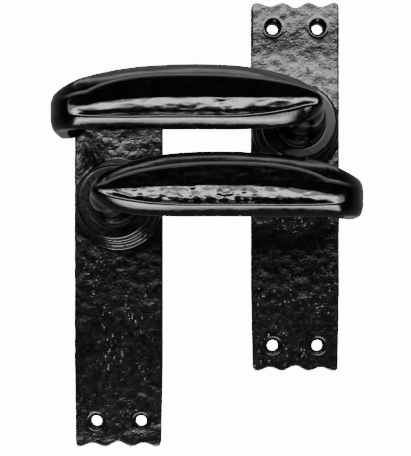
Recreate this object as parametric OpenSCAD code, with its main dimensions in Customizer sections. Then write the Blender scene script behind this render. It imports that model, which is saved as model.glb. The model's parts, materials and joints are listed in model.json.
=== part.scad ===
// A handed pair of black cast-iron lever handles on long backplates, for one door.
// Both plates lie on the plane Y = 0 and the handles face -Y, with +Z up.
// The origin is the left lever's axis on the door face. Sizes are in millimetres.
// Each handle is drawn flat, x along the lever, y up and z away from the door, then placed.

/* [Pair] */
// Distance from the left lever's axis across to the right lever's axis
pair_spread = 85.9; // [80:0.1:160]
// Height of the right lever's axis above the left one
pair_rise = 36.8; // [34:0.1:90]

/* [Backplate] */
// Overall height of the plate
plate_length = 179; // [150:0.5:220]
// Width of the plate
plate_width = 43; // [40:0.5:60]
// Width at the bottom end, where the casting draws in
plate_foot_width = 41.4; // [38:0.1:60]
// Length over which the plate draws in
plate_foot_length = 40; // [20:1:60]
// Thickness of the plate
plate_thick = 5.5; // [4:0.1:8]
// Height of the plate's top end above the lever axis
plate_top = 61.5; // [45:0.5:90]
// Spacing of the lobes along the wavy ends
lobe_pitch = 12.4; // [10:0.1:14]
// Depth of the middle notch in each end
middle_notch = 2.5; // [1:0.1:4]
// Depth of the two side notches
side_notch = 1.8; // [1:0.1:4]
// Corner radius at the ends
corner_radius = 1.4; // [0.5:0.1:3]
// Bevel along the long front edges
plate_bevel = 0.8; // [0.2:0.1:1.5]

/* [Screw holes] */
// Spacing of the screw holes across the plate
screw_span_x = 21.8; // [18:0.1:28]
// Spacing of the screw holes up the plate
screw_span_y = 154.5; // [120:0.5:190]
// Height of the upper screw holes above the lever axis
screw_top = 49.3; // [35:0.1:80]
// Diameter of the clearance hole
screw_hole_d = 5.2; // [4:0.1:6]
// Diameter of the countersink at the front
countersink_d = 8.7; // [7:0.1:11]

/* [Boss] */
// Radius of the round foot of the boss
boss_foot_r = 21.1; // [20:0.1:24]
// Radius of the middle step
boss_step_r = 19.4; // [18.8:0.1:22]
// Radius of the drum
boss_drum_r = 17.3; // [16.8:0.1:20]
// Height of the boss from the door face
boss_height = 22; // [20:0.5:28]
// How far the two beads stand out from the drum
bead_height = 0.45; // [0.2:0.05:0.8]

/* [Lever] */
// Length of the lever from its axis to the tip
lever_reach = 110.8; // [90:0.1:130]
// How far the head runs past the axis
lever_head = 6.4; // [4:0.1:8]
// Distance from the door face to the middle of the grip
grip_height = 51; // [48:0.5:70]
// Thickness of the grip in front of its middle
grip_front = 6.5; // [5:0.1:8]
// Thickness of the grip behind its middle
grip_back = 7; // [5:0.1:7.4]
// Height of the grip's upper edge over the axis at its highest
grip_top = 18.2; // [14:0.1:20]
// Depth of the grip's lower edge under the axis
grip_bottom = 9.5; // [8:0.1:12]
// Depth of the long scoop in the face of the grip
scoop_depth = 3.2; // [1:0.1:4]
// Radius of the bend that turns the tip back to the door, at the grip's middle
tip_bend = 8; // [7:0.1:12]
// Distance from the door face to the end of the returned tip
tip_end = 20.5; // [15:0.5:35]
// Radius of the neck where it turns in the bush
neck_r = 10.45; // [9.5:0.05:11]

/* [Spindle] */
// Side of the square spindle
spindle_side = 8; // [7:0.5:8]
// How far the spindle reaches behind the door face
spindle_back = 66; // [50:1:90]
// Extra width of the square socket over the spindle
socket_play = 0.2; // [0.1:0.05:0.4]

/* [Return spring] */
// Diameter of the spring wire
wire_d = 1.4; // [1:0.1:1.4]
// Mean radius of the coils
coil_r = 13.2; // [13:0.05:13.4]
// Number of coils
coils = 4; // [2:1:4]
// Turn each way that the stop allows, in degrees
stop_turn = 35; // [25:1:40]

/* [Hidden] */
$fn = 72;

plate_bottom = plate_top - plate_length;
end_steps = 44;

// Heights of the layers inside the boss, from the door face.
cavity_r = 18;
cavity_top = 8.5;
coil_room_r = 14.5;
coil_room_top = 18;
bore_r = 11.6;
running_clearance = 0.05;
seat_clearance = 0.02;
tail_end = 2.6;
ring_bottom = 3.42;
ring_thick = 1;
shim_bottom = 4.46;
drive_bottom = 5;
drive_top = 6.8;
washer_bottom = 7;

// The double-D tail that carries the drive plate.
tail_r = 8.6;
tail_flat = 7;
groove_r = 8.2;
drive_r = 17.2;

pin_r = 1;
pin_circle = 16.2;
pin_bottom = 3.6;
pin_top = 9.9;
collar_bottom = boss_height + 0.5;
collar_r = 12;
socket_side = spindle_side + socket_play;
socket_top = 42;
spindle_front = 41.5;
grub_height = 30;
grub_r = 2.5;
grub_outer = 9.1;

black_iron = [0.06, 0.06, 0.065];
nylon = [0.1, 0.1, 0.11];
steel = [0.66, 0.68, 0.7];
spring_steel = [0.36, 0.37, 0.4];

// Placement: the flat handle is stood up facing -Y, and the right one is its mirror image.
module on_left() {
  rotate([90, 0, 0]) children();
}

module on_right() {
  translate([pair_spread, 0, pair_rise]) mirror([1, 0, 0]) rotate([90, 0, 0]) children();
}

// ---- Backplate ----

function notch_depth(x) = abs(x) < lobe_pitch / 2 ? middle_notch : side_notch;
function end_dip(x) = notch_depth(x) * (1 + cos(360 * x / lobe_pitch)) / 2;
function past_corner(x, half) = max(0, abs(x) - (half - corner_radius));
function corner_dip(x, half) =
  corner_radius - sqrt(max(0, pow(corner_radius, 2) - pow(past_corner(x, half), 2)));
function end_x(i, half) = half * sin(-90 + 180 * i / end_steps);
function end_inset(x, half) = end_dip(x) + corner_dip(x, half);

module plate_outline() {
  half = plate_width / 2;
  foot = plate_foot_width / 2;
  upper = [for (i = [0:end_steps]) let (x = end_x(i, half)) [x, plate_top - end_inset(x, half)]];
  lower = [for (i = [0:end_steps]) let (x = -end_x(i, foot)) [x, plate_bottom + end_inset(x, foot)]];
  kink = plate_bottom + plate_foot_length;
  polygon(concat(upper, [[half, kink]], lower, [[-half, kink]]));
}

// The plate's front edges are bevelled by a section drawn along its whole length.
module plate_section() {
  half = plate_width / 2;
  polygon([
    [-half - 1, 0], [half + 1, 0], [half + 1, plate_thick - plate_bevel],
    [half, plate_thick - plate_bevel], [half - plate_bevel, plate_thick],
    [-half + plate_bevel, plate_thick], [-half, plate_thick - plate_bevel],
    [-half - 1, plate_thick - plate_bevel]
  ]);
}

module plate_slab() {
  intersection() {
    linear_extrude(plate_thick) plate_outline();
    translate([0, plate_top + 1, 0]) rotate([90, 0, 0]) linear_extrude(plate_length + 2)
      plate_section();
  }
}

module boss_solid() {
  bead_r = boss_drum_r + bead_height;
  rotate_extrude() polygon([
    [0, 1], [boss_foot_r, 1], [boss_foot_r, 7], [boss_foot_r - 0.8, 7.8], [boss_step_r, 7.8],
    [boss_step_r, 10], [boss_step_r - 0.5, 10.5], [boss_drum_r, 10.5],
    [boss_drum_r, boss_height - 3.4], [bead_r, boss_height - 3.1], [bead_r, boss_height - 2.5],
    [boss_drum_r, boss_height - 2.2], [boss_drum_r, boss_height - 1.7],
    [bead_r, boss_height - 1.4], [bead_r, boss_height - 0.7], [boss_drum_r - 0.3, boss_height],
    [0, boss_height]
  ]);
}

module screw_holes() {
  sink = (countersink_d - screw_hole_d) / 2;
  for (x = [-1, 1], y = [screw_top, screw_top - screw_span_y]) {
    translate([x * screw_span_x / 2, y, 0]) {
      translate([0, 0, -1]) cylinder(h = plate_thick + 2, d = screw_hole_d);
      translate([0, 0, plate_thick - sink])
        cylinder(h = sink + 0.01, d1 = screw_hole_d, d2 = countersink_d + 0.02);
    }
  }
}

module backplate() {
  color(black_iron) difference() {
    union() {
      plate_slab();
      boss_solid();
    }
    translate([0, 0, -1]) cylinder(h = cavity_top + 1, r = cavity_r);
    translate([0, 0, cavity_top - 1]) cylinder(h = coil_room_top - cavity_top + 1, r = coil_room_r);
    translate([0, 0, coil_room_top - 1]) cylinder(h = boss_height - coil_room_top + 2, r = bore_r);
    translate([0, pin_circle, cavity_top - 1]) cylinder(h = pin_top + 1.1 - cavity_top, r = pin_r);
    translate([0, -coil_r, coil_room_top - 1]) cylinder(h = 3.6, d = wire_d + 0.2);
    screw_holes();
  }
}

// ---- Lever ----

// A smooth edge that is 1 at its middle and falls to 0 at a reach either side.
function swell(x, middle, reach, sharp, blunt) =
  pow(max(0, 1 - pow(min(1, abs(x - middle) / reach), sharp)), blunt);
function mix(a, b, t) = a + (b - a) * t;

// The grip's outline, seen from the front: its highest and lowest places, and its two ends.
crest_x = 46;
sag_x = 45;
head_y = 1.8;
tip_top = 7.2;
tip_bottom = -9;
tip_side = 7;
bend_start = lever_reach - tip_side - tip_bend;

function upper_edge(x) =
  x < crest_x ? mix(head_y, grip_top, swell(x, crest_x, crest_x + lever_head, 2.2, 0.57))
  : mix(grip_top, tip_top, pow((x - crest_x) / (lever_reach - crest_x), 2.5));
function lower_edge(x) =
  x < sag_x ? mix(head_y, -grip_bottom, swell(x, sag_x, sag_x + lever_head, 4, 0.55))
  : mix(-grip_bottom, tip_bottom, pow((x - sag_x) / (lever_reach - sag_x), 4));

// The scoop in the grip's face, between an upper and a lower rim that meet in a point at each end.
scoop_middle = 48;
scoop_head = 3.6;
scoop_tail = 101;
scoop_head_y = 2;
scoop_tail_y = -4;
upper_rim = grip_top - 5.7;
lower_rim = 4.5 - grip_bottom;
function scoop_reach(x) = x < scoop_middle ? scoop_middle + scoop_head : scoop_tail - scoop_middle;
function scoop_end_y(x) = x < scoop_middle ? scoop_head_y : scoop_tail_y;
function scoop_upper(x) =
  mix(scoop_end_y(x), upper_rim,
    swell(x, scoop_middle, scoop_reach(x), x < scoop_middle ? 2 : 3, 0.6));
function scoop_lower(x) =
  mix(scoop_end_y(x), lower_rim,
    swell(x, scoop_middle, scoop_reach(x), x < scoop_middle ? 2.5 : 5, 0.7));

// The grip's middle line runs out straight, bends back to the door and ends in the tip.
head_steps = 12;
grip_steps = 16;
bend_steps = 8;
tip_steps = 7;
head_length = 22;
face_round = 9;
tip_straight = grip_height - tip_bend - tip_end;
bend_first = head_steps + grip_steps;
tip_first = bend_first + bend_steps;
stations = tip_first + tip_steps;
function head_station(i) = -lever_head + head_length * pow((i + 0.35) / head_steps, 2);
function grip_station(i) =
  mix(head_length - lever_head, bend_start, (i - head_steps) / grip_steps);
function tip_drop(i) = tip_straight * sin(90 * (i - tip_first) / (tip_steps - 0.6));

// A station is a place along the lever, a turn towards the door and a drop to the door.
function station(i) =
  i < head_steps ? [head_station(i), 0, 0]
  : i < bend_first ? [grip_station(i), 0, 0]
  : i < tip_first ? [bend_start, 90 * (i - bend_first) / bend_steps, 0]
  : [bend_start, 90, tip_drop(i)];

// Where the front of the grip is seen at a station.
function seen_x(s) = s[0] + (tip_bend + tip_side) * sin(s[1]);
// How far the section is shrunk towards the rounded ends, over a length at the head.
function head_round(x, length) = pow(1 - pow(1 - min(1, (x + lever_head) / length), 4), 0.4);
function tip_round(s) = pow(max(0.01, 1 - pow(s[2] / tip_straight, 9)), 0.45);

// The section is drawn with u up across the grip and v out of its front face.
// The rims are bevelled along the grip and rounded round the tip.
across = 6;
back_steps = 14;
grip_widest = 2;
tip_widest = 5;
grip_rim_least = 0.17;
tip_rim_least = 0.12;
rim_steps = [0, 0.12, 0.55];
function bevel_in(t, turned) = mix(t, 1 - cos(90 * t), turned);
function bevel_out(t, turned) = mix(t + 0.08 * sin(180 * t), sin(90 * t), turned);
function scoop_profile(t) = 1 - 0.55 * abs(t) - 0.45 * pow(abs(t), 3);
function scoop_at(x) =
  scoop_depth * pow(max(0, (scoop_upper(x) - scoop_lower(x)) / (upper_rim - lower_rim)), 1.2);
function clamp_up(x, top, low) = max(scoop_upper(x), mix(low, top, 0.65));
function clamp_low(x, top, low) = min(scoop_lower(x), mix(low, top, 0.35));

function section(s) =
  let (
    x = seen_x(s),
    turned = s[1] / 90,
    middle = (upper_edge(x) + lower_edge(x)) / 2,
    top = mix(middle, upper_edge(x), tip_round(s)),
    low = mix(middle, lower_edge(x), tip_round(s)),
    face = head_round(x, face_round) * tip_round(s),
    front = mix(grip_front, tip_side, turned) * face,
    widest = mix(grip_widest, tip_widest, turned) * face,
    back = mix(grip_back, tip_side, turned) * head_round(x, head_length) * tip_round(s),
    rim_least = mix(grip_rim_least, tip_rim_least, turned) * (top - low),
    high = min(clamp_up(x, top, low), top - rim_least),
    deep = max(clamp_low(x, top, low), low + rim_least),
    scoop = scoop_at(x) * (1 - turned)
  )
  concat(
    [for (t = rim_steps)
      [mix(top, high, bevel_in(t, turned)), mix(widest, front, bevel_out(t, turned))]],
    [for (k = [0:across]) let (t = 2 * k / across - 1)
      [mix(high, deep, k / across), front - scoop * scoop_profile(t) + 0.04 * (1 - t * t) * turned]],
    [for (k = [len(rim_steps) - 1:-1:0]) let (t = rim_steps[k])
      [mix(low, deep, bevel_in(t, turned)), mix(widest, front, bevel_out(t, turned))]],
    [for (k = [1:back_steps - 1]) let (a = 180 * k / back_steps)
      [mix(low, top, (1 - cos(a)) / 2), widest - (back + widest) * pow(sin(a), 0.8)]]
  );

function place_point(s, p) =
  let (r = tip_bend + p[1])
  s[1] == 0 ? [s[0], p[0], grip_height + p[1]]
  : [s[0] + r * sin(s[1]), p[0], grip_height - tip_bend + r * cos(s[1]) - s[2]];

module grip() {
  loops = [for (i = [0:stations - 1]) let (s = station(i)) [for (p = section(s)) place_point(s, p)]];
  n = len(loops[0]);
  tip = [bend_start + tip_bend, (upper_edge(lever_reach) + lower_edge(lever_reach)) / 2, tip_end];
  points = concat([for (loop = loops) each loop], [[-lever_head, head_y, grip_height]], [tip]);
  head_point = stations * n;
  polyhedron(points = points, faces = concat(
    [for (j = [0:n - 1]) [head_point, j, (j + 1) % n]],
    [for (i = [0:stations - 2], j = [0:n - 1]) let (k = (j + 1) % n)
      each [[i * n + j, (i + 1) * n + k, i * n + k], [i * n + j, (i + 1) * n + j, (i + 1) * n + k]]],
    [for (j = [0:n - 1]) let (b = (stations - 1) * n) [head_point + 1, b + (j + 1) % n, b + j]]
  ));
}

// The neck turns in the bush, spreads into a collar over it and narrows up into the head.
module neck_solid() {
  rotate_extrude() polygon([
    [0, drive_top], [neck_r, drive_top], [neck_r, collar_bottom], [collar_r, collar_bottom],
    [collar_r, collar_bottom + 1], [10.4, collar_bottom + 2.8], [9.5, 31], [8.7, 38], [8, 44],
    [6.6, 49], [4.5, 51.6], [0, 52]
  ]);
}

module double_d(r, flat, h) {
  intersection() {
    cylinder(h = h, r = r);
    translate([-flat, -r - 1, 0]) cube([2 * flat, 2 * r + 2, h]);
  }
}

module lever() {
  color(black_iron) difference() {
    union() {
      grip();
      neck_solid();
      translate([0, 0, tail_end]) double_d(tail_r, tail_flat, drive_top - tail_end + 0.5);
    }
    translate([-socket_side / 2, -socket_side / 2, tail_end - 1])
      cube([socket_side, socket_side, socket_top - tail_end + 1]);
    translate([0, 0, ring_bottom - seat_clearance]) difference() {
      cylinder(h = ring_thick + 2 * seat_clearance, r = tail_r + 1);
      translate([0, 0, -1]) cylinder(h = ring_thick + 3, r = groove_r);
    }
    translate([0, 0, grub_height]) rotate([90, 0, 0])
      cylinder(h = neck_r + 3, r = grub_r + seat_clearance);
  }
}

// ---- Small parts inside the boss ----

// A sleeve with a flange that bears up against the roof of the coil room.
module neck_bush() {
  flange_r = 12.3;
  flange_bottom = coil_room_top - 0.7;
  flange_top = coil_room_top - seat_clearance;
  sleeve_r = bore_r - seat_clearance;
  sleeve_top = boss_height + 0.2;
  inner_r = neck_r + running_clearance;
  color(nylon) rotate_extrude() polygon([
    [inner_r, flange_bottom], [flange_r, flange_bottom], [flange_r, flange_top],
    [sleeve_r, flange_top], [sleeve_r, sleeve_top], [inner_r, sleeve_top]
  ]);
}

module thrust_washer() {
  outer_r = cavity_r - 0.2;
  inner_r = coil_room_r + 0.1;
  color(nylon) translate([0, 0, washer_bottom]) difference() {
    cylinder(h = cavity_top - washer_bottom - seat_clearance, r = outer_r);
    translate([0, 0, -1]) cylinder(h = 4, r = inner_r);
    translate([0, pin_circle, -1]) cylinder(h = 4, r = pin_r + seat_clearance);
  }
}

// The slot runs either side of the stop pin by the turn it allows.
module drive_plate() {
  pin_angle = asin(pin_r / pin_circle);
  slot_turn = stop_turn + pin_angle + 1;
  slot_r = pin_circle - pin_r - 0.3;
  color(steel) translate([0, 0, drive_bottom]) difference() {
    cylinder(h = drive_top - drive_bottom, r = drive_r);
    translate([0, 0, -1])
      double_d(tail_r + seat_clearance, tail_flat + seat_clearance, 4);
    translate([0, -coil_r, -1]) cylinder(h = 4, d = wire_d + 0.2);
    translate([0, 0, -1]) rotate([0, 0, 90 - slot_turn]) rotate_extrude(angle = 2 * slot_turn)
      translate([slot_r, 0]) square([4, 4]);
  }
}

module shim_washer() {
  shim_r = 11.5;
  color(steel) translate([0, 0, shim_bottom]) difference() {
    cylinder(h = drive_bottom - seat_clearance - shim_bottom, r = shim_r);
    translate([0, 0, -1]) cylinder(h = 3, r = tail_r + seat_clearance);
  }
}

// An open ring with a holed lug either side of its gap.
module retaining_ring() {
  ring_r = 10.3;
  lug_r = 1.6;
  lug_hole_r = 0.6;
  gap_turn = 32;
  lug_angle = gap_turn + 8;
  color(steel) translate([0, 0, ring_bottom]) difference() {
    union() {
      cylinder(h = ring_thick, r = ring_r);
      for (side = [-1, 1]) rotate([0, 0, -90 + side * lug_angle]) translate([ring_r, 0, 0])
        cylinder(h = ring_thick, r = lug_r);
    }
    translate([0, 0, -1]) cylinder(h = 3, r = groove_r + seat_clearance);
    translate([0, 0, -1]) rotate([0, 0, -90 - gap_turn]) rotate_extrude(angle = 2 * gap_turn)
      square([14, 3]);
    for (side = [-1, 1]) rotate([0, 0, -90 + side * lug_angle]) translate([ring_r, 0, -1])
      cylinder(h = 3, r = lug_hole_r);
  }
}

module stop_pin() {
  color(steel) translate([0, pin_circle, pin_bottom])
    cylinder(h = pin_top - pin_bottom, r = pin_r - seat_clearance);
}

// Its cone point bears on the spindle, and the hexagon socket faces down.
module grub_screw() {
  point_length = 0.75;
  point_r = 1.6;
  socket_r = 1.44;
  body_length = grub_outer - spindle_side / 2 - point_length - 0.15;
  color(steel) translate([0, -grub_outer, grub_height]) rotate([-90, 0, 0]) difference() {
    union() {
      cylinder(h = body_length, r = grub_r);
      translate([0, 0, body_length]) cylinder(h = point_length, r1 = grub_r, r2 = point_r);
    }
    translate([0, 0, -1]) cylinder(h = 3, r = socket_r, $fn = 6);
  }
}

module spindle_bar() {
  corner = 0.4;
  half = spindle_side / 2;
  color(steel) translate([0, 0, -spindle_back]) linear_extrude(spindle_front + spindle_back)
    polygon([
      [-half + corner, -half], [half - corner, -half], [half, -half + corner],
      [half, half - corner], [half - corner, half], [-half + corner, half],
      [-half, half - corner], [-half, -half + corner]
    ]);
}

// The wire's path is a turn about the axis, in degrees, and a height.
coil_bottom = 9.6;
coil_rise = 6.2;
leg_bend = 1;
turn_steps = 22;
leg_low = drive_bottom + 0.3;
leg_high = coil_room_top + 2.2;
function arc_turn(length) = length / coil_r * 180 / PI;
coil_path = concat(
  [[0, leg_high], [0, coil_bottom + coil_rise + leg_bend]],
  [for (a = [30:30:60]) [arc_turn(leg_bend * (1 - cos(a))),
    coil_bottom + coil_rise + leg_bend * (1 - sin(a))]],
  [for (k = [0:turn_steps * coils]) let (t = k / (turn_steps * coils))
    [arc_turn(leg_bend) + t * (360 * coils - 2 * arc_turn(leg_bend)),
      coil_bottom + coil_rise * (1 - t)]],
  [for (a = [30:30:60]) [360 * coils - arc_turn(leg_bend * (1 - sin(a))),
    coil_bottom - leg_bend * (1 - cos(a))]],
  [[360 * coils, coil_bottom - leg_bend], [360 * coils, leg_low]]
);

module return_spring() {
  sides = 8;
  count = len(coil_path);
  function heading(i) =
    let (a = coil_path[max(0, i - 1)], b = coil_path[min(count - 1, i + 1)],
      run = (b[0] - a[0]) * PI / 180 * coil_r, drop = b[1] - a[1], size = norm([run, drop]))
    [run / size, drop / size];
  points = [for (i = [0:count - 1], k = [0:sides - 1])
    let (p = coil_path[i], d = heading(i), out = wire_d / 2 * cos(360 * k / sides),
      side = wire_d / 2 * sin(360 * k / sides))
    [(coil_r + out) * cos(p[0]) + side * d[1] * sin(p[0]),
      (coil_r + out) * sin(p[0]) - side * d[1] * cos(p[0]), p[1] + side * d[0]]];
  last = (count - 1) * sides;
  color(spring_steel) rotate([0, 0, -90]) polyhedron(points = points, faces = concat(
    [[for (k = [0:sides - 1]) k]],
    [for (i = [0:count - 2], k = [0:sides - 1]) let (m = (k + 1) % sides)
      each [[i * sides + k, (i + 1) * sides + k, (i + 1) * sides + m],
        [i * sides + k, (i + 1) * sides + m, i * sides + m]]],
    [[for (k = [sides - 1:-1:0]) last + k]]
  ));
}

// ---- Named pieces ----

module backplate_left() { on_left() backplate(); }
module lever_left() { on_left() lever(); }
module neck_bush_left() { on_left() neck_bush(); }
module thrust_washer_left() { on_left() thrust_washer(); }
module drive_plate_left() { on_left() drive_plate(); }
module shim_washer_left() { on_left() shim_washer(); }
module retaining_ring_left() { on_left() retaining_ring(); }
module return_spring_left() { on_left() return_spring(); }
module stop_pin_left() { on_left() stop_pin(); }
module grub_screw_left() { on_left() grub_screw(); }
module spindle() { on_left() spindle_bar(); }
module backplate_right() { on_right() backplate(); }
module lever_right() { on_right() lever(); }
module neck_bush_right() { on_right() neck_bush(); }
module thrust_washer_right() { on_right() thrust_washer(); }
module drive_plate_right() { on_right() drive_plate(); }
module shim_washer_right() { on_right() shim_washer(); }
module retaining_ring_right() { on_right() retaining_ring(); }
module return_spring_right() { on_right() return_spring(); }
module stop_pin_right() { on_right() stop_pin(); }
module grub_screw_right() { on_right() grub_screw(); }

backplate_left();
lever_left();
neck_bush_left();
thrust_washer_left();
drive_plate_left();
shim_washer_left();
retaining_ring_left();
return_spring_left();
stop_pin_left();
grub_screw_left();
spindle();
backplate_right();
lever_right();
neck_bush_right();
thrust_washer_right();
drive_plate_right();
shim_washer_right();
retaining_ring_right();
return_spring_right();
stop_pin_right();
grub_screw_right();
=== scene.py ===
import json
import math

import bmesh
import bpy
import numpy as np
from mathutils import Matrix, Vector, noise


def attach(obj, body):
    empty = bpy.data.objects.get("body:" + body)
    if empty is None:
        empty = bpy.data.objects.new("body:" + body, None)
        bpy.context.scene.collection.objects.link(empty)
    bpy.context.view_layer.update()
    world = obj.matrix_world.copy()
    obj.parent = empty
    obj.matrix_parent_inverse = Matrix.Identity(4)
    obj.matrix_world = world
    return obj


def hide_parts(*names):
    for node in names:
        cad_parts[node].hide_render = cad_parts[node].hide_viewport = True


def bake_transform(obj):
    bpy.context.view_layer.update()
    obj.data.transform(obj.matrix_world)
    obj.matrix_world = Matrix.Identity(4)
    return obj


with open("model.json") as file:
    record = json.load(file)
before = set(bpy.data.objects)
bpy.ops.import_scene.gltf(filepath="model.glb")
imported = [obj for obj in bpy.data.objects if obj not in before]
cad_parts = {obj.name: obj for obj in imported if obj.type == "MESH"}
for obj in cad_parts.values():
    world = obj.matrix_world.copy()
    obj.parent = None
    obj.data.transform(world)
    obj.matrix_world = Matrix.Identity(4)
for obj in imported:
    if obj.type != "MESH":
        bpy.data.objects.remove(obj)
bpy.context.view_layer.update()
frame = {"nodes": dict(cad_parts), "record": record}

MM = 0.001
SPREAD, RISE = 85.9, 36.8  # the right lever's axis from the left one's, in mm
CENTRE_X = 0.043  # halfway across the pair, in metres


# ---- Frames: each handle is worked out flat, in mm: x along the lever, y up, h from the door ----

def to_row(points, side):
    """Flat handle coordinates (x, y, h) in mm to the row frame in metres."""
    p = np.asarray(points, float)
    x = p[:, 0] if side == "left" else SPREAD - p[:, 0]
    z = p[:, 1] + (0 if side == "left" else RISE)
    return np.column_stack([x, -p[:, 2], z]) * MM


def to_flat(points, side):
    """The row frame in metres to flat handle coordinates in mm."""
    p = np.asarray(points, float) / MM
    x = p[:, 0] if side == "left" else SPREAD - p[:, 0]
    z = p[:, 2] - (0 if side == "left" else RISE)
    return np.column_stack([x, z, -p[:, 1]])


def read_points(mesh):
    co = np.empty(len(mesh.vertices) * 3)
    mesh.vertices.foreach_get("co", co)
    return co.reshape(-1, 3)


def write_points(mesh, co):
    mesh.vertices.foreach_set("co", co.ravel())
    mesh.update()


def read_normals(mesh):
    n = np.empty(len(mesh.vertices) * 3)
    mesh.vertices.foreach_get("normal", n)
    return n.reshape(-1, 3)


def flat_normals(mesh, side):
    """The outward direction at each point, in the flat handle frame."""
    return to_flat(read_normals(mesh) * MM + to_row(np.zeros((1, 3)), side), side)


def new_object(name, mesh):
    obj = bpy.data.objects.new(name, mesh)
    bpy.context.scene.collection.objects.link(obj)
    return obj


def inside_cad(points, node):
    """Holds points in metres within the box of the CAD node they stand for."""
    cad = read_points(frame["nodes"][node].data)
    return np.clip(points, cad.min(0), cad.max(0))


def mark(mesh, name, values):
    """Notes a value from 0 to 1 at each point, for the material: cast is rough, dull is matt."""
    mesh.attributes.new(name, "FLOAT", "POINT").data.foreach_set("value", values)


def loft(bm, rings, side):
    """Skins a run of closed rings, in flat mm, and caps both ends."""
    rows = [[bm.verts.new(p) for p in to_row(ring, side)] for ring in rings]
    for near, far in zip(rows, rows[1:]):
        for k in range(len(near)):
            m = (k + 1) % len(near)
            bm.faces.new((near[k], near[m], far[m], far[k]))
    bm.faces.new(rows[0])
    bm.faces.new(rows[-1])


def remesh(obj, voxel):
    """Replaces obj's mesh with one closed skin of small even faces."""
    modifier = obj.modifiers.new("skin", "REMESH")
    modifier.mode = "VOXEL"
    modifier.voxel_size = voxel * MM
    modifier.use_smooth_shade = True
    bpy.context.view_layer.update()
    done = bpy.data.meshes.new_from_object(obj.evaluated_get(bpy.context.evaluated_depsgraph_get()))
    obj.modifiers.clear()
    obj.data = done


def relax(mesh, co, weight, rounds):
    """Evens the skin out where weight is above 0, by moving each point towards its neighbours."""
    edges = np.empty(len(mesh.edges) * 2, int)
    mesh.edges.foreach_get("vertices", edges)
    a, b = edges[::2], edges[1::2]
    count = np.bincount(np.concatenate([a, b]), minlength=len(co))[:, None]
    for _ in range(rounds):
        total = np.zeros_like(co)
        for axis in range(3):
            total[:, axis] = (np.bincount(a, co[b, axis], len(co))
                              + np.bincount(b, co[a, axis], len(co)))
        co = co + weight[:, None] * 0.5 * (total / np.maximum(count, 1) - co)
    return co


def fade(value, low, high):
    """0 below low, 1 above high, smooth between. low may be the larger, to fade the other way."""
    t = np.clip((value - low) / (high - low), 0, 1)
    return t * t * (3 - 2 * t)


def field(points, size, seed, octaves=1):
    """Noise from about -1 to 1 at each point, with features of about that size."""
    shift = Vector((seed * 7.31, seed * 3.17, seed * 5.93))
    if octaves == 1:
        return np.array([noise.noise(Vector(p) / size + shift) for p in points])
    return np.array([noise.fractal(Vector(p) / size + shift, 0.9, 2.0, octaves) for p in points])


# ---- Lever: the grip's outline and scoop, in mm, as in the CAD ----

# Along the lever from its axis: the tip, the head behind the axis, and the grip's middle line from the door
REACH, HEAD, GRIP_H = 110.8, 6.4, 51.0
# The section in front of the middle line and behind it, and the same for the tip once it has turned
FRONT, BACK, TIP_SIDE = 6.5, 7.0, 7.0
# The bend's radius, and how far from the door the returned tip ends
BEND, TIP_END = 8.0, 20.5
BEND_START = REACH - TIP_SIDE - BEND
TIP_RUN = GRIP_H - BEND - TIP_END
# Where the section is widest, in front of the middle line, and the rim's least share of its height
GRIP_WIDEST, TIP_WIDEST, GRIP_RIM_LEAST, TIP_RIM_LEAST = 2.0, 5.0, 0.17, 0.12
# How far along the head the back and the face round off
HEAD_LENGTH, FACE_ROUND = 22.0, 9.0
# The outline's height above and below the axis, at its fullest and at its ends
TOP, BOTTOM, HEAD_Y, TIP_TOP, TIP_BOTTOM = 18.2, 9.5, 1.8, 7.2, -9.0
CREST_X, SAG_X, SCOOP_MIDDLE = 46.0, 45.0, 48.0
# The scoop's depth, where it ends towards the tip, and its rims' heights
SCOOP, SCOOP_TAIL, SCOOP_TAIL_Y = 3.2, 101.0, -4.0
UPPER_RIM, LOWER_RIM = TOP - 5.7, 4.5 - BOTTOM
# The least and the greatest share of the section's height for the face between the rims
FACE_SHARE = (0.35, 0.65)
# The two scoops' points at the head differ a little: how far out, and how high
SCOOP_POINT = {"left": (2.6, 0.9), "right": (4.8, 3.3)}


def mix(a, b, t):
    return a + (b - a) * t


def swell(x, middle, reach, sharp, blunt):
    """1 at the middle, falling to 0 at a reach either side."""
    u = np.minimum(1, np.abs(x - middle) / reach)
    return np.maximum(0, 1 - u ** sharp) ** blunt


def upper_edge(x):
    head = mix(HEAD_Y, TOP, swell(x, CREST_X, CREST_X + HEAD, 2.2, 0.57))
    along = np.maximum(0, x - CREST_X) / (REACH - CREST_X)
    return np.where(x < CREST_X, head, mix(TOP, TIP_TOP, along ** 2.5))


def lower_edge(x):
    head = mix(HEAD_Y, -BOTTOM, swell(x, SAG_X, SAG_X + HEAD, 4, 0.55))
    along = np.maximum(0, x - SAG_X) / (REACH - SAG_X)
    return np.where(x < SAG_X, head, mix(-BOTTOM, TIP_BOTTOM, along ** 4))


def scoop_rim(x, rim, side, sharp_head, sharp_tail, blunt):
    far, high = SCOOP_POINT[side]
    head = mix(high, rim, swell(x, SCOOP_MIDDLE, SCOOP_MIDDLE + far, sharp_head, blunt))
    reach = SCOOP_TAIL - SCOOP_MIDDLE
    tail = mix(SCOOP_TAIL_Y, rim, swell(x, SCOOP_MIDDLE, reach, sharp_tail, blunt))
    return np.where(x < SCOOP_MIDDLE, head, tail)


def scoop_upper(x, side):
    return scoop_rim(x, UPPER_RIM, side, 2, 3, 0.6)


def scoop_lower(x, side):
    return scoop_rim(x, LOWER_RIM, side, 2.5, 5, 0.7)


def scoop_ridge(x, side):
    """Where the face meets the upper bevel: the scoop's upper rim, or above it at the scoop's ends."""
    return np.maximum(scoop_upper(x, side), mix(lower_edge(x), upper_edge(x), FACE_SHARE[1]))


def scoop_profile(t):
    """Depth across the scoop: a flat upper face and a curved lower one, which meet in a crease."""
    return 1 + t if t < 0 else 1 - 0.5 * t - 0.5 * t ** 4


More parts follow.
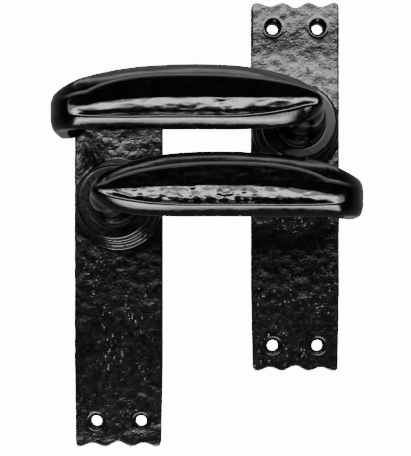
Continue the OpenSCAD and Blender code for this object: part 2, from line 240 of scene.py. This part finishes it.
def bevel_in(t, turned):
    """The rim's way in from the edge: a bevel along the grip, a rounded edge round the tip."""
    return mix(t ** 1.1, 1 - math.cos(math.pi / 2 * t), turned)


def bevel_out(t, turned):
    return mix(t + 0.06 * math.sin(math.pi * t), math.sin(math.pi / 2 * t), turned)


def rounded(x, length):
    """How full the section is, x from the axis, where it rounds off at the head over that length."""
    return (1 - (1 - min(1, (x + HEAD) / length)) ** 4) ** 0.4


# How finely the grip is divided: rings along it, and points round each ring
HEAD_RINGS, RUN_RINGS, BEND_RINGS, TIP_RINGS = 60, 190, 44, 40
RIM_STEPS, HALF_SCOOP, BACK_STEPS = 14, 15, 40


def grip_rings(side):
    """Rings of points round the grip, from the head to the returned tip, in flat mm."""
    # Each station: how far along, how far turned in degrees, and how far down the returned tip
    head = [(-HEAD + HEAD_LENGTH * ((i + 0.3) / HEAD_RINGS) ** 2, 0, 0) for i in range(HEAD_RINGS)]
    run = [(mix(HEAD_LENGTH - HEAD, BEND_START, i / RUN_RINGS), 0, 0) for i in range(RUN_RINGS)]
    bend = [(BEND_START, 90 * i / BEND_RINGS, 0) for i in range(BEND_RINGS)]
    tip = [(BEND_START, 90, TIP_RUN * math.sin(math.pi / 2 * i / (TIP_RINGS - 0.4)))
           for i in range(TIP_RINGS)]
    rings = []
    for x0, turn, down in head + run + bend + tip:
        a = math.radians(turn)
        turned = turn / 90
        x = float(x0 + (BEND + TIP_SIDE) * math.sin(a))
        end = max(0.0004, 1 - (down / TIP_RUN) ** 9) ** 0.45
        face = rounded(x, FACE_ROUND) * end
        up, dn = float(upper_edge(x)), float(lower_edge(x))
        middle = (up + dn) / 2
        top, low = mix(middle, up, end), mix(middle, dn, end)
        front = mix(FRONT, TIP_SIDE, turned) * face
        widest = mix(GRIP_WIDEST, TIP_WIDEST, turned) * face
        back = mix(BACK, TIP_SIDE, turned) * rounded(x, HEAD_LENGTH) * end
        su, sl = float(scoop_upper(x, side)), float(scoop_lower(x, side))
        least = mix(GRIP_RIM_LEAST, TIP_RIM_LEAST, turned) * (top - low)
        high = min(max(su, mix(low, top, FACE_SHARE[1])), top - least)
        deep = max(min(sl, mix(low, top, FACE_SHARE[0])), low + least)
        depth = SCOOP * max(0, (su - sl) / (UPPER_RIM - LOWER_RIM)) ** 1.2 * (1 - turned)
        steps = [k / RIM_STEPS for k in range(RIM_STEPS)]
        rim = [(t, mix(widest, front, bevel_out(t, turned))) for t in steps]
        ring = [(mix(top, high, bevel_in(t, turned)), v) for t, v in rim]
        for k in range(2 * HALF_SCOOP + 1):
            across = k / HALF_SCOOP - 1
            ring.append((mix(high, deep, k / (2 * HALF_SCOOP)), front - depth * scoop_profile(across)))
        ring += [(mix(low, deep, bevel_in(t, turned)), v) for t, v in rim[::-1]]
        for k in range(1, BACK_STEPS):
            b = math.pi * k / BACK_STEPS
            out = widest - (back + widest) * math.sin(b) ** 0.8
            ring.append((mix(low, top, (1 - math.cos(b)) / 2), out))
        if turn == 0:
            rings.append([(x0, u, GRIP_H + v) for u, v in ring])
        else:
            rings.append([(x0 + (BEND + v) * math.sin(a), u,
                           GRIP_H - BEND + (BEND + v) * math.cos(a) - down) for u, v in ring])
    return np.array(rings)


# The neck is the CAD lever's up to here from the door, and above it follows these radii and heights
NECK_TOP = 40.0
CROWN = [(8.45, 39.5), (8.2, 42), (8.0, 44), (7.4, 47), (6.6, 49), (4.6, 51.4), (2.5, 52), (0.4, 52.1)]
CROWN_POINTS = 72


def crown_rings():
    """The neck's upper part, which runs up inside the head."""
    around = [2 * math.pi * k / CROWN_POINTS for k in range(CROWN_POINTS)]
    return [[(r * math.cos(a), r * math.sin(a), h) for a in around] for r, h in CROWN]


def neck_mesh(bm, side):
    """The CAD lever's neck and tail, with its socket, groove and screw hole."""
    bm.from_mesh(frame["nodes"]["lever_" + side].data)
    bmesh.ops.remove_doubles(bm, verts=bm.verts, dist=1e-6)
    axis = 0 if side == "left" else SPREAD
    grip_only = 40  # nothing this far from the axis, in mm, is neck or tail
    far = [v for v in bm.verts if abs(v.co.x / MM - axis) > grip_only]
    bmesh.ops.delete(bm, geom=far, context="VERTS")
    whole = bm.verts[:] + bm.edges[:] + bm.faces[:]
    bmesh.ops.bisect_plane(bm, geom=whole, plane_co=(0, -NECK_TOP * MM, 0), plane_no=(0, -1, 0),
                           clear_outer=True)
    loose = [v for v in bm.verts if not v.link_faces]
    bmesh.ops.delete(bm, geom=loose, context="VERTS")
    bmesh.ops.holes_fill(bm, edges=[e for e in bm.edges if e.is_boundary], sides=0)


# How the noise is squeezed along the lever, which draws its features out, and their sizes in mm
WAVE_STRETCH, WAVE_SIZE = np.array([0.35, 1, 1]), 3.8
PIT_STRETCH, PIT_SIZE = np.array([0.7, 1, 1]), 1.9
CAST_STRETCH = np.array([0.6, 1, 1])
CAST_WAVES = [(0.13, 7, 4), (0.025, 2.6, 5)]  # depth, size and seed
LEVER_VOXEL, PLATE_VOXEL = 0.4, 0.45  # the remeshed skins' face sizes, in mm


def build_lever(side, pits, waves):
    """The whole lever in one skin. pits and waves are the depths of those in the scoop."""
    skin = bmesh.new()
    neck_mesh(skin, side)
    loft(skin, crown_rings(), side)
    loft(skin, grip_rings(side), side)
    bmesh.ops.recalc_face_normals(skin, faces=skin.faces)
    mesh = bpy.data.meshes.new("lever_skin_" + side)
    skin.to_mesh(mesh)
    skin.free()
    obj = new_object("lever_cast_" + side, mesh)
    remesh(obj, LEVER_VOXEL)
    mesh = obj.data
    flat = to_flat(read_points(mesh), side)
    # Filleted where the grip springs from the neck, crisp along the ridge over the scoop, softer along
    # the rim below it, and smooth elsewhere
    x, y, h = flat.T
    from_axis = np.hypot(x, y)
    root = fade(from_axis, 22, 12) * fade(h, 30, 37) * fade(h, 53, 49)
    flat = relax(mesh, flat, root, 60)
    crisp = fade(h, 52, 54) * fade(np.abs(y - scoop_ridge(x, side)), 2.4, 1.2) * fade(x, 108, 101)
    flat = relax(mesh, flat, fade(h, 24, 27) * 0.6 * (1 - crisp), 3)
    rim = fade(h, 52, 54) * fade(np.abs(y - scoop_lower(x, side)), 1.6, 0.6)
    flat = relax(mesh, flat, rim * 0.8, 8)
    write_points(mesh, to_row(flat, side))
    normals = flat_normals(mesh, side)
    x, y, h = flat.T
    lower, upper = scoop_lower(x, side), scoop_upper(x, side)
    inside = (fade(y, lower + 0.1, lower + 1.4) * fade(y, upper - 0.1, upper - 1.6)
              * fade(x, 0, 8) * fade(x, 101, 96) * fade(h, 50.5, 52.5) * fade(normals[:, 2], 0.2, 0.5))
    cast = fade(h, 25, 28)
    shape = np.zeros(len(flat))
    # Waves over the scoop, and pits below its crease that thin out towards the tip
    near = inside > 0
    shape[near] += waves * inside[near] * field(flat[near] * WAVE_STRETCH, WAVE_SIZE, 2, 2)
    crease = (lower + upper) / 2
    pitted = inside * fade(y, crease + 0.8, crease - 0.6) * mix(0.35, 1, fade(x, 72, 60))
    sunk = np.maximum(0, field(flat[near] * PIT_STRETCH, PIT_SIZE, 3) - 0.05)
    shape[near] -= pits * 3 * pitted[near] * sunk
    # The casting's own unevenness, coarse and fine
    for depth, size, seed in CAST_WAVES:
        shape += depth * cast * field(flat * CAST_STRETCH, size, seed)
    write_points(mesh, inside_cad(to_row(flat + normals * shape[:, None], side), "lever_" + side))
    mark(mesh, "cast", cast)
    mark(mesh, "dull", crisp * fade(np.abs(y - scoop_ridge(x, side)), 1.0, 0.5))
    return obj


# ---- Backplate: rough-cast front, smooth boss ----

BOSS_R = 21.1
HOLE_X, HOLE_TOP, HOLE_DROP = 10.9, 49.3, 154.5
SCREWS = [(sx * HOLE_X, sy) for sx in (-1, 1) for sy in (HOLE_TOP, HOLE_TOP - HOLE_DROP)]
# Each relief's depth and size in mm
LUMPS, DENTS, GRAIN, EDGE_WAVES = (0.20, 9), (0.20, 3.6), (0.154, 1.5), (0.14, 4)
# A shallow hollow across the plate above the boss: its depth, middle and half width
HOLLOW, HOLLOW_Y, HOLLOW_REACH = 0.9, 34, 13


def build_plate(side, seed):
    obj = new_object("backplate_cast_" + side, frame["nodes"]["backplate_" + side].data.copy())
    remesh(obj, PLATE_VOXEL)
    mesh = obj.data
    flat = to_flat(read_points(mesh), side)
    x, y, h = flat.T
    out = fade(np.hypot(x, y), BOSS_R - 0.2, BOSS_R + 2.4)
    soft = fade(h, 3.6, 5.0) * out
    flat = relax(mesh, flat, 0.8 * fade(h, 2.5, 4.5), 3)
    write_points(mesh, to_row(flat, side))
    normals = flat_normals(mesh, side)
    x, y, h = flat.T
    open_hole = np.ones(len(flat))
    for sx, sy in SCREWS:
        open_hole *= fade(np.hypot(x - sx, y - sy), 4.3, 5.6)
    front = soft * open_hole * fade(normals[:, 2], 0.1, 0.6)
    near = front > 0
    rough = np.zeros(len(flat))
    p = flat[near]
    lumps = LUMPS[0] * field(p, LUMPS[1], seed)
    dents = DENTS[0] * field(p, DENTS[1], seed + 1)
    grain = GRAIN[0] * np.abs(field(p, GRAIN[1], seed + 2, 2))
    hollow = HOLLOW * np.exp(-((p[:, 1] - HOLLOW_Y) / HOLLOW_REACH) ** 2)
    rough[near] = front[near] * (lumps + dents - grain - hollow)
    edge = fade(h, 0.4, 1.6) * out * fade(np.abs(normals[:, 2]), 0.8, 0.4) * open_hole
    edge_near = edge > 0
    waves = field(flat[edge_near], EDGE_WAVES[1], seed + 5)
    rough[edge_near] += EDGE_WAVES[0] * edge[edge_near] * waves
    write_points(mesh, inside_cad(to_row(flat + normals * rough[:, None], side), "backplate_" + side))
    mark(mesh, "cast", out * open_hole)
    return obj


# ---- Return spring: a round wire that twists between the boss and the lever ----

COIL_R, WIRE, COILS = 13.2, 1.4, 4
COIL_LOW, COIL_RISE, LEG_BEND = 9.6, 6.2, 1.0
LEG_LOW, LEG_HIGH = 5.3, 20.2
WIRE_POINTS, COIL_STEPS = 14, 60


def spring_path():
    """The wire's middle line, from the leg in the boss to the leg in the drive plate: degrees and h."""
    def turn(length):
        return math.degrees(length / COIL_R)

    top, full = COIL_LOW + COIL_RISE, 360 * COILS
    corner = np.radians([20, 40, 60, 80])
    path = [(0, LEG_HIGH), (0, top + LEG_BEND + 1), (0, top + LEG_BEND)]
    path += [(turn(LEG_BEND * (1 - math.cos(a))), top + LEG_BEND * (1 - math.sin(a))) for a in corner]
    steps = COIL_STEPS * COILS
    start, end = turn(LEG_BEND), full - turn(LEG_BEND)
    path += [(start + (end - start) * k / steps, COIL_LOW + COIL_RISE * (1 - k / steps))
             for k in range(steps + 1)]
    path += [(full - turn(LEG_BEND * (1 - math.sin(a))), COIL_LOW - LEG_BEND * (1 - math.cos(a)))
             for a in corner]
    return path + [(full, COIL_LOW - LEG_BEND), (full, COIL_LOW - LEG_BEND - 1), (full, LEG_LOW)]


def build_spring(side):
    path = spring_path()
    rings = []
    for i, (turned, h) in enumerate(path):
        a, b = path[max(0, i - 1)], path[min(len(path) - 1, i + 1)]
        run, drop = math.radians(b[0] - a[0]) * COIL_R, b[1] - a[1]
        size = math.hypot(run, drop)
        run, drop = run / size, drop / size
        t = math.radians(turned - 90)
        ring = []
        for k in range(WIRE_POINTS):
            round_wire = math.tau * k / WIRE_POINTS
            out, across = WIRE / 2 * math.cos(round_wire), WIRE / 2 * math.sin(round_wire)
            ring.append(((COIL_R + out) * math.cos(t) + across * drop * math.sin(t),
                         (COIL_R + out) * math.sin(t) - across * drop * math.cos(t), h + across * run))
        rings.append(ring)
    bm = bmesh.new()
    loft(bm, rings, side)
    bmesh.ops.recalc_face_normals(bm, faces=bm.faces)
    mesh = bpy.data.meshes.new("spring_" + side)
    bm.to_mesh(mesh)
    bm.free()
    mesh.shade_smooth()
    return new_object("spring_wire_" + side, mesh)


# ---- Materials ----

def material(name):
    mat = bpy.data.materials.new(name)
    mat.use_nodes = True
    tree = mat.node_tree
    tree.nodes.clear()
    out = tree.nodes.new("ShaderNodeOutputMaterial")
    shader = tree.nodes.new("ShaderNodeBsdfPrincipled")
    tree.links.new(shader.outputs[0], out.inputs[0])
    where = tree.nodes.new("ShaderNodeTexCoord")
    return mat, tree, shader, where.outputs["Object"]


def noise_node(tree, where, size, detail=3.0, roughness=0.55, stretch=None):
    """Noise with features of about size mm, from 0 to 1."""
    if stretch:
        turn = tree.nodes.new("ShaderNodeMapping")
        turn.inputs["Scale"].default_value = stretch
        tree.links.new(where, turn.inputs["Vector"])
        where = turn.outputs[0]
    node = tree.nodes.new("ShaderNodeTexNoise")
    node.inputs["Scale"].default_value = 1 / (size * MM)
    node.inputs["Detail"].default_value = detail
    node.inputs["Roughness"].default_value = roughness
    tree.links.new(where, node.inputs["Vector"])
    return node.outputs["Fac"]


def ramp(tree, value, stops):
    node = tree.nodes.new("ShaderNodeValToRGB")
    points = node.color_ramp.elements
    while len(points) < len(stops):
        points.new(0.5)
    for point, (at, colour) in zip(points, stops):
        point.position = at
        point.color = (*colour, 1)
    tree.links.new(value, node.inputs[0])
    return node.outputs[0]


def spread(tree, value, low, high, start=0.3, stop=0.7):
    """Takes the value from between start and stop to between low and high."""
    node = tree.nodes.new("ShaderNodeMapRange")
    for key, number in (("From Min", start), ("From Max", stop), ("To Min", low), ("To Max", high)):
        node.inputs[key].default_value = number
    tree.links.new(value, node.inputs["Value"])
    return node.outputs[0]


def bump(tree, value, depth, before=None, strength=None):
    """Surface relief of depth mm, over the relief before it."""
    node = tree.nodes.new("ShaderNodeBump")
    node.inputs["Strength"].default_value = 1
    if strength is not None:
        tree.links.new(strength, node.inputs["Strength"])
    node.inputs["Distance"].default_value = depth * MM
    tree.links.new(value, node.inputs["Height"])
    if before is not None:
        tree.links.new(before, node.inputs["Normal"])
    return node.outputs[0]


def marked(tree, name):
    """The value that mark() noted under that name."""
    node = tree.nodes.new("ShaderNodeAttribute")
    node.attribute_name = name
    return node.outputs["Fac"]


def sums(tree, operation, *values):
    """A Math node on those sockets or numbers."""
    node = tree.nodes.new("ShaderNodeMath")
    node.operation = operation
    for socket, value in zip(node.inputs, values):
        if isinstance(value, float):
            socket.default_value = value
        else:
            tree.links.new(value, socket)
    return node.outputs[0]


DULL_ROUGHER = 0.35  # how much rougher the coat is where it is marked dull
PIT_SPACING, PATCH_SIZE = 2.2, 9  # the pits are this far apart and come in patches this big, in mm


def cast_black(name, pit, grain, rough_low, rough_high, tone):
    """Gloss black lacquer over cast iron: fine grain and pits under the coat."""
    mat, tree, shader, where = material(name)
    shade = noise_node(tree, where, 6)
    tree.links.new(ramp(tree, shade, [(0.35, (0.6 * tone, 0.6 * tone, 0.65 * tone)),
                                      (0.7, (1.4 * tone, 1.4 * tone, 1.5 * tone))]),
                   shader.inputs["Base Color"])
    sheen = spread(tree, noise_node(tree, where, 2.2, 4), rough_low, rough_high)
    matt = sums(tree, "MULTIPLY_ADD", marked(tree, "dull"), DULL_ROUGHER, sheen)
    tree.links.new(matt, shader.inputs["Roughness"])
    cast = marked(tree, "cast")
    relief = bump(tree, noise_node(tree, where, 0.9, 4, 0.6), grain, strength=cast)
    cells = tree.nodes.new("ShaderNodeTexVoronoi")
    cells.inputs["Scale"].default_value = 1 / (PIT_SPACING * MM)
    tree.links.new(where, cells.inputs["Vector"])
    holes = spread(tree, cells.outputs["Distance"], 0, 1, 0.05, 0.3)
    patches = spread(tree, noise_node(tree, where, PATCH_SIZE), 0, 1, 0.45, 0.6)
    relief = bump(tree, holes, pit, relief, sums(tree, "MULTIPLY", patches, cast))
    tree.links.new(relief, shader.inputs["Normal"])
    shader.inputs["Specular IOR Level"].default_value = 0.5
    return mat


def nylon_material():
    mat, tree, shader, where = material("nylon")
    tone = noise_node(tree, where, 3)
    tree.links.new(ramp(tree, tone, [(0.3, (0.012, 0.012, 0.013)), (0.7, (0.022, 0.022, 0.024))]),
                   shader.inputs["Base Color"])
    tree.links.new(spread(tree, noise_node(tree, where, 0.7), 0.4, 0.55), shader.inputs["Roughness"])
    tree.links.new(bump(tree, noise_node(tree, where, 0.4), 0.01), shader.inputs["Normal"])
    return mat


def steel_material(name, dark, light, rough, stretch):
    mat, tree, shader, where = material(name)
    tone = noise_node(tree, where, 2.5, 4)
    tree.links.new(ramp(tree, tone, [(0.3, dark), (0.7, light)]), shader.inputs["Base Color"])
    shader.inputs["Metallic"].default_value = 1
    lines = noise_node(tree, where, 0.5, 3, 0.6, stretch)
    tree.links.new(spread(tree, lines, rough - 0.08, rough + 0.1), shader.inputs["Roughness"])
    tree.links.new(bump(tree, lines, 0.012), shader.inputs["Normal"])
    return mat


plate_black = cast_black("black_iron_plate", 0.16, 0.12, 0.14, 0.28, 0.0025)
lever_black = cast_black("black_iron_lever", 0.008, 0.02, 0.1, 0.2, 0.001)
nylon = nylon_material()
zinc = steel_material("zinc_steel", (0.5, 0.52, 0.54), (0.66, 0.68, 0.7), 0.3, (1, 0.12, 1))
oiled = steel_material("spring_steel", (0.14, 0.14, 0.15), (0.26, 0.26, 0.28), 0.36, (1, 1, 1))


def paint(obj, mat):
    obj.data.materials.clear()
    obj.data.materials.append(mat)


SIDES = {"left": "left_lever", "right": "right_lever"}
# The depths of the pits and of the waves in each scoop, in mm
SCOOP_FINISH = {"left": (0.14, 0.13), "right": (0.03, 0.17)}
PLATE_SEED = {"left": 11, "right": 37}
for side, body in SIDES.items():
    plate = build_plate(side, PLATE_SEED[side])
    paint(plate, plate_black)
    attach(plate, "plates")
    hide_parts("backplate_" + side)

    lever = build_lever(side, *SCOOP_FINISH[side])
    paint(lever, lever_black)
    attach(lever, body)
    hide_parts("lever_" + side)

    spring = build_spring(side)
    paint(spring, oiled)
    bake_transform(spring)
    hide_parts("return_spring_" + side)

FINISH = {"nylon": nylon, "zinc_steel": zinc, "spring_steel": oiled, "black_iron": plate_black}
slots = {s["node"]: s["material_slot"] for s in frame["record"]["subparts"]}
for name, obj in frame["nodes"].items():
    for slot in obj.material_slots:
        slot.material = FINISH[slots[name]]


# ---- Camera, light and stage ----

camera_data = bpy.data.cameras.new("camera")
camera_data.lens = 58.6
camera_data.sensor_width = 36
camera_data.shift_x = -0.0033
camera_data.shift_y = 0.103
camera_data.clip_start = 0.01
camera = bpy.data.objects.new("camera", camera_data)
camera.location = (CENTRE_X, -0.3655, -0.034)
camera.rotation_euler = (math.pi / 2, 0, 0)
bpy.context.scene.collection.objects.link(camera)
bpy.context.scene.camera = camera


def softbox(name, place, target, size, radiance):
    """A rectangular light in metres, aimed at the target."""
    data = bpy.data.lights.new(name, "AREA")
    data.shape = "RECTANGLE"
    data.size, data.size_y = size
    data.energy = radiance * math.pi * size[0] * size[1]
    light = bpy.data.objects.new(name, data)
    light.location = place
    aim = Vector(target) - Vector(place)
    light.rotation_euler = aim.to_track_quat("-Z", "Y").to_euler()
    bpy.context.scene.collection.objects.link(light)


def overhead(name, elevation, span, far, wide, radiance):
    """A light across the front, seen from the part at that elevation and over that span, in degrees."""
    a, half = math.radians(elevation), math.radians(span / 2)
    deep = 2 * far * math.tan(half)
    place = (CENTRE_X, -far * math.cos(a), far * math.sin(a))
    softbox(name, place, (CENTRE_X, 0, 0), (wide, deep), radiance)


# elevation, span, distance, width and radiance
overhead("key", 32, 9, 1.3, 1.5, 19)
overhead("key_soft", 27, 29, 1.36, 1.6, 4)
overhead("top", 80, 9, 1.0, 1.1, 2.6)
overhead("top_soft", 94, 36, 1.04, 1.2, 0.5)
overhead("low_front", -53, 8, 0.4, 0.3, 13)
softbox("under", (CENTRE_X, -0.23, -0.3), (CENTRE_X, -0.1, 0), (0.36, 0.17), 9)

# The camera sees plain white, and the part reflects a dark room that is paler behind it
world = bpy.data.worlds.new("studio")
bpy.context.scene.world = world
world.use_nodes = True
tree = world.node_tree
tree.nodes.clear()
out = tree.nodes.new("ShaderNodeOutputWorld")
seen = tree.nodes.new("ShaderNodeBackground")
seen.inputs[0].default_value = (1, 1, 1, 1)
seen.inputs[1].default_value = 14
around = tree.nodes.new("ShaderNodeBackground")
around.inputs[1].default_value = 1.2
room = [(at, (grey, grey, grey)) for at, grey in ((0, 0.004), (0.3, 0.16), (0.7, 0.3), (1, 0.25))]
where = tree.nodes.new("ShaderNodeTexCoord")
split = tree.nodes.new("ShaderNodeSeparateXYZ")
tree.links.new(where.outputs["Generated"], split.inputs[0])
tree.links.new(ramp(tree, spread(tree, split.outputs[1], 0, 1, -0.4, 1), room), around.inputs[0])
ray = tree.nodes.new("ShaderNodeLightPath")
either = tree.nodes.new("ShaderNodeMixShader")
tree.links.new(ray.outputs["Is Camera Ray"], either.inputs[0])
tree.links.new(around.outputs[0], either.inputs[1])
tree.links.new(seen.outputs[0], either.inputs[2])
tree.links.new(either.outputs[0], out.inputs[0])

floor_mesh = bpy.data.meshes.new("floor")
bm = bmesh.new()
bmesh.ops.create_circle(bm, cap_ends=True, segments=96, radius=0.55)
bm.to_mesh(floor_mesh)
bm.free()
floor = new_object("floor", floor_mesh)
floor.location = (CENTRE_X, 0.1, -0.32)
floor.visible_glossy = False
pale, pale_tree, pale_shader, pale_where = material("pale_floor")
pale_tone = noise_node(pale_tree, pale_where, 40)
pale_tree.links.new(ramp(pale_tree, pale_tone, [(0.3, (0.8, 0.8, 0.8)), (0.7, (0.84, 0.84, 0.84))]),
                    pale_shader.inputs["Base Color"])
pale_shader.inputs["Roughness"].default_value = 0.9
paint(floor, pale)

bpy.context.view_layer.update()
